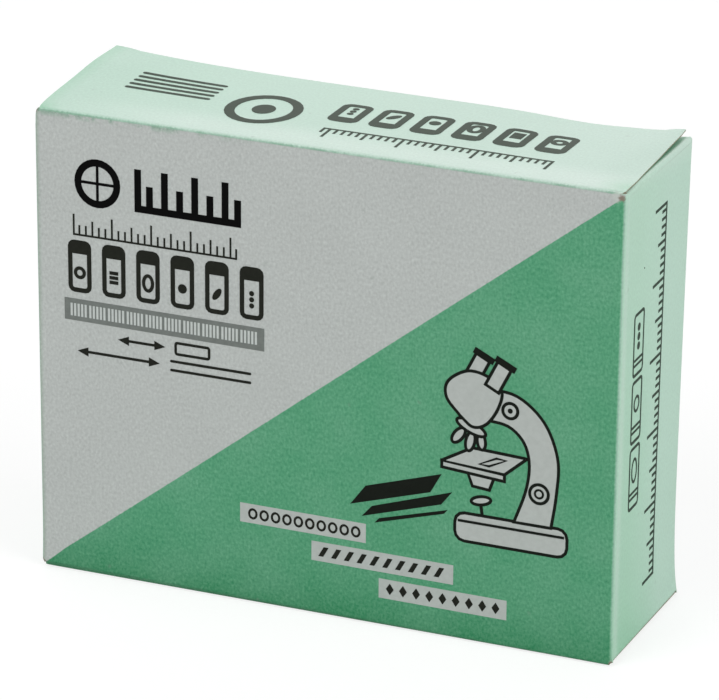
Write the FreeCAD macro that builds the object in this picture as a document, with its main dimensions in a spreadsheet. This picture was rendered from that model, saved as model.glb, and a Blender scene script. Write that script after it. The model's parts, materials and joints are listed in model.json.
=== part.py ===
import FreeCAD, Part
import Sketcher
import math
import os

# A folding carton with its stack of microscope slides, in millimetres.
#
# The carton is one sheet of folding boxboard: front, right end, back and left end in one wrap, closed by a
# glue flap inside the left end, with a glued bottom and a dust flap folded in over each end of the stack.
# The lid is the same sheet's top flap. It swings on the fold along the top of the front wall, and has a
# short tuck flap inside the back wall. The glass slides lie flat on each other and fill the carton.
#
# Frame: X along the carton's width, +Y from the front wall to the back wall, +Z up. The origin is at the
# middle of the underside. The lid's own origin is on its hinge line.

# The driving sizes: the name in the sheet, the value in millimetres, degrees or pieces, and what it is.
SIZES = [
    ("slide_length", 76.2, "glass slide, along X"),
    ("slide_width", 25.4, "glass slide, along Y"),
    ("slide_thickness", 1.15, "glass slide, along Z"),
    ("slide_bevel", 0.15, "bevel ground along the slide's edges"),
    ("slide_count", 50, "slides in the stack"),
    ("length_slack", 3.0, "room along X between the end walls"),
    ("width_slack", 0.4, "room along Y between the front and back walls"),
    ("height_slack", 3.3, "room between the top slide and the dust flaps"),
    ("board", 0.4, "thickness of the folding boxboard"),
    ("upright_fold_radius", 0.4, "inner radius of the four upright folds"),
    ("end_fold_radius", 0.4, "inner radius of the folds from the end walls to their flaps"),
    ("panel_fold_radius", 0.3, "outer radius of the lid's and the bottom panel's folds"),
    ("panel_inset", 0.5, "from an end wall's outside to the lid's or the bottom panel's cut edge"),
    ("panel_corner", 1.0, "cut across the free corners of the lid and the bottom panel"),
    ("panel_back_gap", 0.3, "from the back wall's outside to the bottom panel's free edge"),
    ("flap_length", 18.0, "dust flap or bottom end flap, from the end wall's outside"),
    ("flap_corner", 2.5, "cut across the free corners of the dust flaps"),
    ("flap_clearance", 0.5, "beside a flap, to the wall, flap or tuck flap next to it"),
    ("back_flap_depth", 11.0, "bottom back flap, from the back wall's inside"),
    ("glue_flap_width", 10.0, "glue flap, from the back wall's inside"),
    ("glue_flap_taper", 3.0, "slope at the top and the foot of the glue flap"),
    ("lid_gap", 0.2, "between the tuck flap and the back wall's inside"),
    ("lid_rise", 2.8, "angle at which the lid rests, held up by the spring of its folds"),
    ("tuck_clearance", 0.3, "between the tuck flap's free edge and the top slide"),
    ("tuck_side_inset", 3.0, "from the lid's cut edge to the tuck flap's"),
    ("tuck_corner_radius", 2.0, "rounding of the tuck flap's free corners"),
    ("tuck_extra_lean", 2.5, "angle added to the least lean that swings clear of the back wall"),
]

# What is worked out from them, as expressions that the document keeps.
STACK_BASE = "(2 * Sizes.board)"
FLAP_BASE = f"({STACK_BASE} + Sizes.slide_count * Sizes.slide_thickness + Sizes.height_slack)"
WALL_TOP = f"({FLAP_BASE} + Sizes.board)"

END_INSIDE = "((Sizes.slide_length + Sizes.length_slack) / 2)"
END_OUTSIDE = f"({END_INSIDE} + Sizes.board)"
BACK_INSIDE = "((Sizes.slide_width + Sizes.width_slack) / 2)"
BACK_OUTSIDE = f"({BACK_INSIDE} + Sizes.board)"
PANEL_END = f"({END_OUTSIDE} - Sizes.panel_inset)"
FLAP_END = f"({END_OUTSIDE} - Sizes.flap_length)"
END_FOLD = "(Sizes.end_fold_radius + Sizes.board)"
FLAP_ROOT = f"({END_OUTSIDE} - {END_FOLD} - Sizes.flap_clearance)"

# A flap is drawn from the middle of its wall's thickness, so that wall and flap are one sheet.
HALF_BOARD = "(Sizes.board / 2)"
END_MIDDLE = f"({END_INSIDE} + {HALF_BOARD})"
BACK_MIDDLE = f"({BACK_INSIDE} + {HALF_BOARD})"

LID_DEPTH = f"({BACK_INSIDE} + {BACK_OUTSIDE} - Sizes.lid_gap)"
LID_LIFT = f"({LID_DEPTH} * sin(Sizes.lid_rise * 1 deg))"
TUCK_LENGTH = f"(Sizes.height_slack + Sizes.board + {LID_LIFT} - Sizes.tuck_clearance)"
TUCK_LEAN = f"(asin({TUCK_LENGTH} / (2 * {LID_DEPTH})) + Sizes.tuck_extra_lean * 1 deg)"
TUCK_FOOT = f"({TUCK_LENGTH} * sin({TUCK_LEAN}))"
TUCK_DROP = f"({TUCK_LENGTH} * cos({TUCK_LEAN}))"
TUCK_END = f"({PANEL_END} - Sizes.tuck_side_inset)"
FLAP_BACK = f"({BACK_INSIDE} - Sizes.lid_gap - {TUCK_FOOT} - Sizes.board - Sizes.flap_clearance)"
FLAP_FRONT = f"({BACK_INSIDE} - Sizes.flap_clearance)"

# How near two lengths in millimetres have to be to count as the same.
SAME = 1e-4

# In a constraint, 1 is the start of a line or an arc and 2 is its end. The pair -1, 1 is the sketch's origin.


def make_sheet(doc):
    """The spreadsheet of driving sizes: one row each, with its name, value and meaning."""
    sheet = doc.addObject("Spreadsheet::Sheet", "Sizes")
    for row, (alias, value, meaning) in enumerate(SIZES, start=1):
        sheet.set(f"A{row}", alias)
        sheet.set(f"B{row}", str(value))
        sheet.set(f"C{row}", meaning)
        sheet.setAlias(f"B{row}", alias)
    doc.recompute()
    return sheet


def worked_out(doc, expression):
    """The plain number that an expression comes to."""
    value = doc.getObject("Sizes").evalExpression(expression)
    return float(getattr(value, "Value", value))


def make_body(doc, label):
    """An empty body, which is one piece of the object."""
    body = doc.addObject("PartDesign::Body", label)
    body.Label = label
    return body


def make_sketch(body, name, plane, level="0"):
    """An empty sketch on one of the body's own planes, moved to a level along the plane's normal."""
    sketch = body.newObject("Sketcher::SketchObject", name)
    support = next(item for item in body.Origin.OriginFeatures if item.Role == plane)
    sketch.AttachmentSupport = [(support, "")]
    sketch.MapMode = "FlatFace"
    sketch.setExpression(".AttachmentOffset.Base.z", level)
    return sketch


def bind_point(sketch, line, end, name, place, at):
    """Bind one point's two distances from the sketch's origin to its pair of expressions."""
    for kind, axis, distance, expression in zip(("DistanceX", "DistanceY"), "XY", at, place):
        index = sketch.addConstraint(Sketcher.Constraint(kind, -1, 1, line, end, distance))
        sketch.renameConstraint(index, name + axis)
        sketch.setExpression(f"Constraints.{name}{axis}", expression)


def add_outline(sketch, name, places):
    """Add a closed outline of straight lines through points, each a pair of expressions."""
    doc = sketch.Document
    values = [(worked_out(doc, x), worked_out(doc, y)) for x, y in places]
    points = [FreeCAD.Vector(x, y, 0) for x, y in values]
    first = sketch.GeometryCount
    for start, finish in zip(points, points[1:] + points[:1]):
        sketch.addGeometry(Part.LineSegment(start, finish), False)
    for corner, (place, at) in enumerate(zip(places, values)):
        following = first + (corner + 1) % len(places)
        sketch.addConstraint(Sketcher.Constraint("Coincident", first + corner, 2, following, 1))
        bind_point(sketch, first + corner, 1, f"{name}{corner}", place, at)


def add_rectangle(sketch, name, left, right, low, high):
    """Add a rectangle between two distances along each of the sketch's axes."""
    add_outline(sketch, name, [(left, low), (right, low), (right, high), (left, high)])


def add_round_corner(sketch, name, corner, inward, radius):
    """Add the outline between a square corner and the quarter arc that rounds it off.

    The corner is a pair of expressions, inward the signs that lead from it to the arc's centre.
    """
    doc = sketch.Document
    corner_x, corner_y = (worked_out(doc, place) for place in corner)
    size = worked_out(doc, radius)
    centre_x, centre_y = corner_x + inward[0] * size, corner_y + inward[1] * size
    diagonal = size * math.sqrt(0.5)
    square = FreeCAD.Vector(corner_x, corner_y, 0)
    flat_end = FreeCAD.Vector(centre_x, corner_y, 0)
    upright_end = FreeCAD.Vector(corner_x, centre_y, 0)
    halfway = FreeCAD.Vector(centre_x - inward[0] * diagonal, centre_y - inward[1] * diagonal, 0)
    flat = sketch.addGeometry(Part.LineSegment(flat_end, square), False)
    upright = sketch.addGeometry(Part.LineSegment(square, upright_end), False)
    arc = sketch.addGeometry(Part.Arc(upright_end, halfway, flat_end), False)
    begins_upright = sketch.getPoint(arc, 1).distanceToPoint(upright_end) < SAME
    at_upright, at_flat = (1, 2) if begins_upright else (2, 1)
    sketch.addConstraint(Sketcher.Constraint("Coincident", flat, 2, upright, 1))
    sketch.addConstraint(Sketcher.Constraint("Horizontal", flat))
    sketch.addConstraint(Sketcher.Constraint("Vertical", upright))
    sketch.addConstraint(Sketcher.Constraint("Tangent", upright, 2, arc, at_upright))
    sketch.addConstraint(Sketcher.Constraint("Tangent", arc, at_flat, flat, 1))
    bind_point(sketch, flat, 2, name, corner, (corner_x, corner_y))
    index = sketch.addConstraint(Sketcher.Constraint("Radius", arc, size))
    sketch.renameConstraint(index, name + "Radius")
    sketch.setExpression(f"Constraints.{name}Radius", radius)


def make_pad(body, sketch, name, length, symmetric=False):
    """Pad a sketch along its normal, or half of the length to each side."""
    pad = body.newObject("PartDesign::Pad", name)
    pad.Profile = sketch
    pad.setExpression("Length", length)
    pad.SideType = "Symmetric" if symmetric else "One side"
    body.Document.recompute()


def edges_at(feature, places, top):
    """Name the feature's edges that reach no higher than the top and lie at the given places.

    The places hold, for some of the axes, the distances at one of which both ends of an edge lie.
    """
    def lies_there(edge):
        ends = [end.Point for end in edge.Vertexes]
        return max(end.z for end in ends) < top + SAME and all(
            any(all(abs(getattr(end, axis) - distance) < SAME for end in ends) for distance in distances)
            for axis, distances in places.items()
        )
    return [f"Edge{number}" for number, edge in enumerate(feature.Shape.Edges, start=1) if lies_there(edge)]


def dress_edges(body, kind, name, measure, size, places, top=math.inf):
    """Fillet or chamfer the last feature's edges that lie at the given places, up to the top."""
    base = body.Tip
    feature = body.newObject(f"PartDesign::{kind}", name)
    feature.Base = (base, edges_at(base, places, top))
    feature.setExpression(measure, size)
    body.Document.recompute()


def round_upright_folds(body):
    """Round the wrap's four upright folds, inside and outside."""
    doc = body.Document
    for name, radius, end, back in (
        ("OuterUprightFolds", "Sizes.upright_fold_radius + Sizes.board", END_OUTSIDE, BACK_OUTSIDE),
        ("InnerUprightFolds", "Sizes.upright_fold_radius", END_INSIDE, BACK_INSIDE),
    ):
        across, along = worked_out(doc, end), worked_out(doc, back)
        places = {"x": (-across, across), "y": (-along, along)}
        dress_edges(body, "Fillet", name, "Radius", radius, places)


def add_dust_flaps(body):
    """The two top flaps, which taper from their folds so that the tuck flap passes behind them."""
    sketch = make_sketch(body, "DustFlapOutlines", "XY_Plane", FLAP_BASE)
    for name, sign in (("Left", "-"), ("Right", "")):
        add_outline(sketch, name, [
            (f"{sign}{END_MIDDLE}", f"-{BACK_INSIDE}"),
            (f"{sign}{END_MIDDLE}", BACK_INSIDE),
            (f"{sign}{FLAP_ROOT}", BACK_INSIDE),
            (f"{sign}({TUCK_END} + Sizes.flap_clearance)", FLAP_BACK),
            (f"{sign}({FLAP_END} + Sizes.flap_corner)", FLAP_BACK),
            (f"{sign}{FLAP_END}", f"{FLAP_BACK} - Sizes.flap_corner"),
            (f"{sign}{FLAP_END}", f"Sizes.flap_corner - {FLAP_FRONT}"),
            (f"{sign}({FLAP_END} + Sizes.flap_corner)", f"-{FLAP_FRONT}"),
            (f"{sign}({TUCK_END} + Sizes.flap_clearance)", f"-{FLAP_FRONT}"),
            (f"{sign}{FLAP_ROOT}", f"-{BACK_INSIDE}"),
        ])
    make_pad(body, sketch, "DustFlaps", "Sizes.board")


def add_bottom(body):
    """The bottom panel on the front wall's fold, glued under two end flaps and a flap of the back wall."""
    back_edge = f"{BACK_OUTSIDE} - Sizes.panel_back_gap"
    panel = make_sketch(body, "BottomPanelOutline", "XY_Plane")
    add_outline(panel, "Panel", [
        (f"-{PANEL_END}", f"-{BACK_OUTSIDE}"),
        (PANEL_END, f"-{BACK_OUTSIDE}"),
        (PANEL_END, f"{back_edge} - Sizes.panel_corner"),
        (f"{PANEL_END} - Sizes.panel_corner", back_edge),
        (f"Sizes.panel_corner - {PANEL_END}", back_edge),
        (f"-{PANEL_END}", f"{back_edge} - Sizes.panel_corner"),
    ])
    make_pad(body, panel, "BottomPanel", "Sizes.board")
    doc = body.Document
    front_fold = {"y": (-worked_out(doc, BACK_OUTSIDE),), "z": (0.0,)}
    dress_edges(body, "Fillet", "BottomFold", "Radius", "Sizes.panel_fold_radius", front_fold)

    flaps = make_sketch(body, "BottomFlapOutlines", "XY_Plane", "Sizes.board")
    for name, sign in (("Left", "-"), ("Right", "")):
        ends = (f"{sign}{END_MIDDLE}", f"{sign}{FLAP_END}")
        add_rectangle(flaps, name, *ends, f"-{BACK_INSIDE}", BACK_INSIDE)
    seam = f"({FLAP_END} - Sizes.flap_clearance)"
    add_rectangle(flaps, "Back", f"-{seam}", seam, f"{BACK_INSIDE} - Sizes.back_flap_depth", BACK_MIDDLE)
    make_pad(body, flaps, "BottomFlaps", "Sizes.board")


def add_glue_flap(body):
    """The flap that closes the wrap, inside the left end wall, with sloped ends."""
    free_edge = f"({BACK_INSIDE} - Sizes.glue_flap_width)"
    sketch = make_sketch(body, "GlueFlapOutline", "YZ_Plane", f"-{END_MIDDLE}")
    add_outline(sketch, "Flap", [
        (BACK_MIDDLE, STACK_BASE),
        (BACK_MIDDLE, FLAP_BASE),
        (BACK_INSIDE, FLAP_BASE),
        (free_edge, f"{FLAP_BASE} - Sizes.glue_flap_taper"),
        (free_edge, f"{STACK_BASE} + Sizes.glue_flap_taper"),
        (BACK_INSIDE, STACK_BASE),
    ])
    make_pad(body, sketch, "GlueFlap", f"{HALF_BOARD} + Sizes.board")


def round_end_folds(body):
    """Round the folds from the two end walls to their flaps, right through the carton's depth."""
    sketch = make_sketch(body, "EndFoldCorners", "XZ_Plane")
    for side, end, across in (("Left", f"-{END_OUTSIDE}", 1), ("Right", END_OUTSIDE, -1)):
        for height, level, up in (("Foot", "Sizes.board", 1), ("Top", WALL_TOP, -1)):
            add_round_corner(sketch, side + height, (end, level), (across, up), END_FOLD)
    pocket = body.newObject("PartDesign::Pocket", "EndFolds")
    pocket.Profile = sketch
    pocket.Type = "ThroughAll"
    pocket.SideType = "Symmetric"
    body.Document.recompute()


def make_carton(doc):
    """The folded sheet without its lid: the wrap, its flaps and the glued bottom."""
    body = make_body(doc, "carton")
    wrap = make_sketch(body, "WrapOutline", "XY_Plane", "Sizes.board")
    add_rectangle(wrap, "Outside", f"-{END_OUTSIDE}", END_OUTSIDE, f"-{BACK_OUTSIDE}", BACK_OUTSIDE)
    add_rectangle(wrap, "Inside", f"-{END_INSIDE}", END_INSIDE, f"-{BACK_INSIDE}", BACK_INSIDE)
    make_pad(body, wrap, "Wrap", f"{WALL_TOP} - Sizes.board")
    round_upright_folds(body)
    add_bottom(body)
    add_dust_flaps(body)
    add_glue_flap(body)
    round_end_folds(body)
    return body


def make_lid(doc):
    """The top panel and its tuck flap, on the fold along the top of the front wall.

    The tuck flap leans in, so that no point of it is further from the hinge line than its own fold is.
    """
    body = make_body(doc, "lid")
    panel = make_sketch(body, "LidOutline", "XY_Plane")
    add_outline(panel, "Lid", [
        (f"-{PANEL_END}", "0"),
        (PANEL_END, "0"),
        (PANEL_END, f"{LID_DEPTH} - Sizes.panel_corner"),
        (f"{PANEL_END} - Sizes.panel_corner", LID_DEPTH),
        (f"Sizes.panel_corner - {PANEL_END}", LID_DEPTH),
        (f"-{PANEL_END}", f"{LID_DEPTH} - Sizes.panel_corner"),
    ])
    make_pad(body, panel, "LidPanel", "Sizes.board")

    tuck = make_sketch(body, "TuckProfile", "YZ_Plane")
    inside_lean = f"Sizes.board * cos({TUCK_LEAN})"
    add_outline(tuck, "Tuck", [
        (LID_DEPTH, "0"),
        (f"{LID_DEPTH} - {TUCK_FOOT}", f"-{TUCK_DROP}"),
        (f"{LID_DEPTH} - {TUCK_FOOT} - {inside_lean}", f"Sizes.board * sin({TUCK_LEAN}) - {TUCK_DROP}"),
        (f"{LID_DEPTH} - Sizes.board / cos({TUCK_LEAN})", "0"),
    ])
    make_pad(body, tuck, "TuckFlap", f"2 * {TUCK_END}", symmetric=True)

    depth, thickness = worked_out(doc, LID_DEPTH), worked_out(doc, "Sizes.board")
    folds = {"y": (0.0, depth), "z": (thickness,)}
    dress_edges(body, "Fillet", "LidFolds", "Radius", "Sizes.panel_fold_radius", folds)
    tuck_end, tuck_drop = worked_out(doc, TUCK_END), worked_out(doc, TUCK_DROP)
    corners, top = {"x": (-tuck_end, tuck_end)}, thickness - tuck_drop
    dress_edges(body, "Fillet", "TuckCorners", "Radius", "Sizes.tuck_corner_radius", corners, top)
    body.setExpression(".Placement.Base.y", f"-{BACK_OUTSIDE}")
    body.setExpression(".Placement.Base.z", WALL_TOP)
    body.Placement.Rotation = FreeCAD.Rotation(FreeCAD.Vector(1, 0, 0), 1)
    body.setExpression(".Placement.Rotation.Angle", "Sizes.lid_rise * 1 deg")
    return body


def make_slide(doc, number):
    """One glass slide with ground edges, lying on those below it."""
    body = make_body(doc, f"slide_{number:02d}")
    outline = make_sketch(body, "SlideOutline", "XY_Plane")
    length, width = "Sizes.slide_length / 2", "Sizes.slide_width / 2"
    add_rectangle(outline, "Slide", f"-{length}", length, f"-{width}", width)
    make_pad(body, outline, "Glass", "Sizes.slide_thickness")
    faces = {"z": (0.0, worked_out(doc, "Sizes.slide_thickness"))}
    dress_edges(body, "Chamfer", "GroundEdges", "Size", "Sizes.slide_bevel", faces)
    body.setExpression(".Placement.Base.z", f"{STACK_BASE} + {number - 1} * Sizes.slide_thickness")
    return body


def check(doc, bodies):
    """Stop if any feature failed, or if a piece is not one sound solid."""
    for item in doc.Objects:
        if {"Invalid", "Error"} & set(item.State):
            raise RuntimeError(f"{item.Name} failed: {item.State}")
    for body in bodies:
        if body.Shape.isNull() or not body.Shape.isValid() or len(body.Shape.Solids) != 1:
            raise RuntimeError(f"{body.Label} is not one sound solid")


def main():
    """Build the document, check it and write each piece to its own file."""
    doc = FreeCAD.newDocument("slide_carton")
    make_sheet(doc)
    slide_count = round(worked_out(doc, "Sizes.slide_count"))
    bodies = [make_carton(doc), make_lid(doc)]
    bodies += [make_slide(doc, number) for number in range(1, slide_count + 1)]
    doc.recompute()
    check(doc, bodies)
    os.makedirs("parts", exist_ok=True)
    for body in bodies:
        body.Shape.exportStep(f"parts/{body.Label}.step")


main()
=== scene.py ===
import json
import math
from functools import partial

import bmesh
import bpy
import numpy as np
from mathutils import Matrix, Vector


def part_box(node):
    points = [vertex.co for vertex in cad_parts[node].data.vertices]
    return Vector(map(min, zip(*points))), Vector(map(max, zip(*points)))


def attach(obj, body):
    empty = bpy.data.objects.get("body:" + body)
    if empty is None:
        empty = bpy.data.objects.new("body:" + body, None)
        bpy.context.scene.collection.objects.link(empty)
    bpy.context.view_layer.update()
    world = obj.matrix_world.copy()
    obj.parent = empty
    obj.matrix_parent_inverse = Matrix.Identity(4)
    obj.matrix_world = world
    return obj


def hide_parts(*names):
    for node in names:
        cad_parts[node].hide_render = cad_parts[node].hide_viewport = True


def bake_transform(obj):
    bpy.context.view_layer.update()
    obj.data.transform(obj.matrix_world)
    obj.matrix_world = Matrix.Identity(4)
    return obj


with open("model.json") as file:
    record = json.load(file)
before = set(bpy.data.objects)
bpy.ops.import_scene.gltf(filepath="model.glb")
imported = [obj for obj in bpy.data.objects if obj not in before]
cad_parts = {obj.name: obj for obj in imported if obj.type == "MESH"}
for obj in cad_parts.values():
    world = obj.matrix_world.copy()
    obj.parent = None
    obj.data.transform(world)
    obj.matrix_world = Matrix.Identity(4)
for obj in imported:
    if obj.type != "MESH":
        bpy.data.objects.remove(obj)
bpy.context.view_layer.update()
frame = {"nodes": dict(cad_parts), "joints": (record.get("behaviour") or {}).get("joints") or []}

# The looks of a folding carton with its stack of fifty microscope slides.
#
# The carton and its lid are one sheet of printed boxboard. Shapes are worked out in millimetres on the plain
# box that the frame gives, +X along the width, +Y from front to back and +Z up. settle() then leans and bows
# every board and every printed mark alike, the way the filled carton has slumped, and add_piece() turns the
# result into metres. Printed marks are thin films of ink that lie on the board.

MM = 0.001

# ---- Sizes of the plain box, from the frame --------


def in_mm(metres):
    """A point in metres as millimetres, rounded to a tenth of a micrometre."""
    return np.round(np.array(metres) / MM, 4)


carton_high = in_mm(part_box("carton")[1])
lid_high = in_mm(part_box("lid")[1])
hinge = in_mm(frame["joints"][0]["pos_m"])

HALF_WIDTH = carton_high[0]
HALF_DEPTH = carton_high[1]
HEIGHT = carton_high[2]
LID_END = lid_high[0]
HINGE_Y, HINGE_Z = hinge[1], hinge[2]

# Sizes of the folded board, in millimetres.
BOARD = 0.4  # the level of one board on another
SKIN = 0.36  # thickness that is drawn, so that the slumped walls clear the slides
LID_SKIN = 0.17  # the lid's cut edges are pressed thin
BACK_WALL_DROP = 0.45  # the back wall's cut edge stays under the lid's back fold
FOLD = 0.5  # outer radius of a fold
BACK_RIGHT_FOLD = 1.0  # the back right fold is worn rounder
LID_FOLD = 0.42
LID_RISE = math.radians(2.8)
LID_DEPTH = (lid_high[1] - HINGE_Y) / math.cos(LID_RISE)
LID_TOP = HINGE_Z + BOARD / math.cos(LID_RISE)
STRIP_FOOT = HEIGHT - 0.7  # the fold strip runs from here on the front wall ...
STRIP_REACH = 1.0  # ... to this far along the lid,
FLAP_LENGTH = 18.0
GLUE_FLAP_WIDTH = 10.0
GLUE_FLAP_SETBACK = 0.6  # the glue flap's ends stand in by this much beside its fold ...
GLUE_FLAP_TAPER = 1.8  # ... and by this much more at its free edge
SEAM_SETBACK = 0.15  # the left end wall's cut edge, short of the back wall's face
BOTTOM_SETBACK = 0.3  # the bottom panel's free edge, short of the back wall's face
BACK_FLAP_DEPTH = 11.0
PANEL_CORNER = 0.15
FLAP_CORNER = 2.5
TUCK_INSET = 3.0
TUCK_LEAN = math.radians(7.65)
TUCK_FLOOR = 58.42  # the tuck flap ends just above the top slide
TUCK_CORNER = 2.0
BACK_SEAM = HALF_WIDTH - FLAP_LENGTH - 0.5  # the back wall's bottom flap ends here, beside the end flaps
SHOULDER_LENGTH = 2.5  # a dust flap's sides stand in over this length ...
DUST_FLAP_SHOULDERS = (0.4, 1.3)  # ... by this much in front and at the back
TIP_START = 0.03  # the front left fold's worn tips begin this far past the wall,
TIP_UNDER_LID = 0.08  # end this far under the lid's plain top ...
TIP_OFF_TABLE = 0.15  # ... and this far off the table,
TIP_PROUD = 0.25  # and the upper one stands proud by this much
RIGHT_TIP_RISE = 0.18  # the front right fold's tip stands above the walls
SAME = 1e-6
SPACING = 1.6  # between the rows and columns of a board's mesh
FOOT_ROWS = (0.5, 1.2, 2.2, 3.4)  # rows that are added this far above the walls' foot, where they roll
MERGED = 0.002  # points that lie closer than this are one
ARC_STEPS = 7

# ---- How the filled carton has slumped --------

FOOT_ROLL = 0.40  # height of the rolled foot at the front's left end
FOOT_FLARE = 0.30  # and how far the foot stands out there
WORN_TIPS = [  # how the tips of the front's two left corners are worn: level, in, down
    (0.0, 0.32, -0.10),
    (LID_TOP, 0.48, 0.22),
]
WORN_REACH = 0.50
SLIDES_FRONT = -12.75  # nothing inside this face is lifted ...
LIFT_REACH = 0.35  # ... and all of it this far outside
FLARE_HEIGHT = 1.5  # the flare fades upward within about this height
BOW_FRONT, BOW_BACK = 0.10, 0.72  # how far the right end bows in, and how much further at its back
BOW_HEIGHT = 4.0  # the bow sets in within about this height

# How far each corner of the plain box lies from the real one: side, face, level, then x, y and z in mm.
CORNER_SETTLE = [
    (0, 0, 0, (1.27, 0.17, 0.10)),
    (1, 0, 0, (-0.02, 0.10, 0.08)),
    (0, 1, 0, (0.10, -0.10, 0.00)),
    (1, 1, 0, (-0.20, -0.17, 0.00)),
    (0, 0, 1, (0.40, 0.17, 0.05)),
    (1, 0, 1, (-0.35, 0.06, -0.20)),
    (0, 1, 1, (0.05, -0.10, 0.00)),
    (1, 1, 1, (-0.72, -0.10, -0.10)),
]


def settle(points):
    """Move points of the plain box to where the slumped carton has them.

    Each corner's offset counts by how near the point is to it along x, y and z (a trilinear mix). The right
    end wall also bows inward, most near its foot and towards the back (powers and an exponential). The front
    wall's foot is rolled up off the table, most at its left end, and flares there (likewise). The tips of the
    front's left corners are worn in, by an exponential of the distance from each tip.
    """
    place = np.array(points, dtype=float)
    across = (place[..., 0] / HALF_WIDTH + 1) / 2
    along = (place[..., 1] / HALF_DEPTH + 1) / 2
    up = place[..., 2] / HEIGHT
    moved = place.copy()
    for right, back, top, offset in CORNER_SETTLE:
        share = np.where(right, across, 1 - across) * np.where(back, along, 1 - along)
        share = share * np.where(top, up, 1 - up)
        moved += share[..., None] * np.array(offset)
    level = np.clip(up, 0, 1)
    bow = BOW_FRONT + BOW_BACK * np.clip(along, 0, 1)
    bow = bow * (1 - np.exp(-level * HEIGHT / BOW_HEIGHT)) * (1 - level) ** 0.8
    moved[..., 0] -= bow * np.clip(across, 0, 1) ** 3
    outside = np.clip((SLIDES_FRONT - place[..., 1]) / LIFT_REACH, 0, 1)
    moved[..., 2] += FOOT_ROLL * np.clip(1 - across, 0, 1) * np.clip(1 - up, 0, 1) ** 4 * outside
    front_left = np.clip(1 - across, 0, 1) ** 20 * np.clip(1 - along, 0, 1) ** 8
    moved[..., 0] -= FOOT_FLARE * front_left * np.exp(-level * HEIGHT / FLARE_HEIGHT)
    for tip_level, inward, down in WORN_TIPS:
        tip = np.array([-HALF_WIDTH, HINGE_Y, tip_level])
        worn = np.exp(-np.linalg.norm(place - tip, axis=-1) / WORN_REACH)
        moved[..., 0] += inward * worn
        moved[..., 2] -= down * worn
    return moved


# ---- Meshes --------

def steps(start, end, spacing=SPACING, margin=0.15, extra=()):
    """Even steps from start to end, with one more close to each end and at each extra place between."""
    count = max(2, math.ceil(abs(end - start) / spacing) + 1)
    inward = math.copysign(margin, end - start)
    places = list(np.linspace(start, end, count)) + [start + inward, end - inward, *extra]
    return np.array(sorted(set(np.round(places, 5)), reverse=bool(end < start)))


def as_points(*coordinates):
    """Points from their coordinates, which are numbers or arrays and are spread to one shape."""
    return np.stack(np.broadcast_arrays(*coordinates), axis=-1)


def grid_faces(rows, columns):
    """The faces of a grid of points: each joins a point to the next along its row and to those above."""
    corner = (np.arange(rows - 1)[:, None] * columns + np.arange(columns - 1)).reshape(-1, 1)
    return corner + np.array([0, 1, columns + 1, columns])


def add_object(name, data):
    """A new object in the scene, with its mesh, lamp or camera."""
    added = bpy.data.objects.new(name, data)
    bpy.context.scene.collection.objects.link(added)
    return added


def add_piece(name, grids, sheets=None, closed=False):
    """A mesh object made of grids of points in millimetres, joined where their edges meet.

    sheets has for each grid the places of its points on the flat printed sheet, stored in mm as "dieline".
    The faces of a closed piece are turned outward.
    """
    firsts = np.cumsum([0] + [grid[..., 0].size for grid in grids[:-1]])
    points = np.concatenate([grid.reshape(-1, 3) for grid in grids]) * MM
    faces = np.concatenate([grid_faces(*grid.shape[:2]) + first for grid, first in zip(grids, firsts)])
    mesh = bpy.data.meshes.new(name)
    mesh.from_pydata(points.tolist(), [], faces.tolist())
    if sheets is not None:
        flat = np.concatenate([sheet.reshape(-1, 2) for sheet in sheets])
        flat = np.column_stack([flat, np.zeros(len(flat))])
        mesh.attributes.new("dieline", "FLOAT_VECTOR", "POINT").data.foreach_set("vector", flat.ravel())
    work = bmesh.new()
    work.from_mesh(mesh)
    bmesh.ops.remove_doubles(work, verts=work.verts, dist=MERGED * MM)
    if closed:
        bmesh.ops.recalc_face_normals(work, faces=work.faces)
    work.to_mesh(mesh)
    work.free()
    return add_object(name, mesh)


def finish_piece(piece, sharp_angle=math.radians(40)):
    """Apply the piece's modifiers and shade it smooth, but sharp where its faces turn more than an angle."""
    depsgraph = bpy.context.evaluated_depsgraph_get()
    mesh = bpy.data.meshes.new_from_object(piece.evaluated_get(depsgraph))
    piece.modifiers.clear()
    piece.data = mesh
    mesh.name = piece.name
    mesh.shade_smooth()
    mesh.set_sharp_from_angle(angle=sharp_angle)
    return piece


def add_board(name, grids, sheets, materials, skin=SKIN):
    """A sheet of board: its printed face from the grids, and its raw back and cut edges one skin inside."""
    piece = add_piece(name, [settle(grid) for grid in grids], sheets)
    for material in materials:
        piece.data.materials.append(material)
    thickness = piece.modifiers.new("board", "SOLIDIFY")
    thickness.thickness = skin * MM
    thickness.offset = -1
    thickness.use_even_offset = False
    thickness.material_offset = 1
    thickness.material_offset_rim = 2
    return finish_piece(piece)


# ---- The carton --------

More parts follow.
